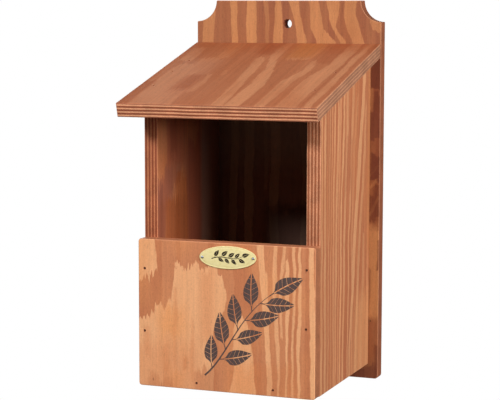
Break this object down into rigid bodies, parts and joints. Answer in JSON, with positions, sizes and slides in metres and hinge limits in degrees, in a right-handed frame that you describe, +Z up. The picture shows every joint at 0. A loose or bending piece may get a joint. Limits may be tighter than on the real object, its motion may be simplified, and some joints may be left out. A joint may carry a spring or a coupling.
{
  "type": "bird nest box",
  "caption": "Half-open bird nest box of stained plywood, with a low front, a sloping roof that overhangs it, and a tall scalloped back board with a hole to hang it by.",
  "frame": {"origin": "on the rear face of the back board, midway across it, level with the underside of the box, where the board lies against the wall", "axes": "+Z up, +Y out of the rear face into the wall, the front faces -Y, +X to the right seen from the front"},
  "size_m": [0.1716, 0.1821, 0.331],
  "materials": {
    "stained_plywood": "satin stain on sanded plywood",
    "brad_steel": "dull",
    "plate_brass": "satin",
    "pin_steel": "bright",
    "print_ink": "matt screen print"
  },
  "bodies": {
    "root": {"back_board": "stained_plywood", "left_side": "stained_plywood", "right_side": "stained_plywood", "floor_board": "stained_plywood", "front_board": "stained_plywood", "roof_board": "stained_plywood", "brad_front_to_left_side_1": "brad_steel", "brad_front_to_left_side_2": "brad_steel", "brad_front_to_right_side_1": "brad_steel", "brad_front_to_right_side_2": "brad_steel", "brad_front_to_floor_1": "brad_steel", "brad_front_to_floor_2": "brad_steel", "brad_roof_to_left_side_1": "brad_steel", "brad_roof_to_left_side_2": "brad_steel", "brad_roof_to_left_side_3": "brad_steel", "brad_roof_to_right_side_1": "brad_steel", "brad_roof_to_right_side_2": "brad_steel", "brad_back_to_left_side_1": "brad_steel", "brad_back_to_left_side_2": "brad_steel", "brad_back_to_left_side_3": "brad_steel", "brad_back_to_right_side_1": "brad_steel", "brad_back_to_right_side_2": "brad_steel", "brad_back_to_right_side_3": "brad_steel", "brad_back_to_floor_1": "brad_steel", "brad_back_to_floor_2": "brad_steel", "name_plate": "plate_brass", "plate_pin_left": "pin_steel", "plate_pin_right": "pin_steel"}
  },
  "joints": []
}
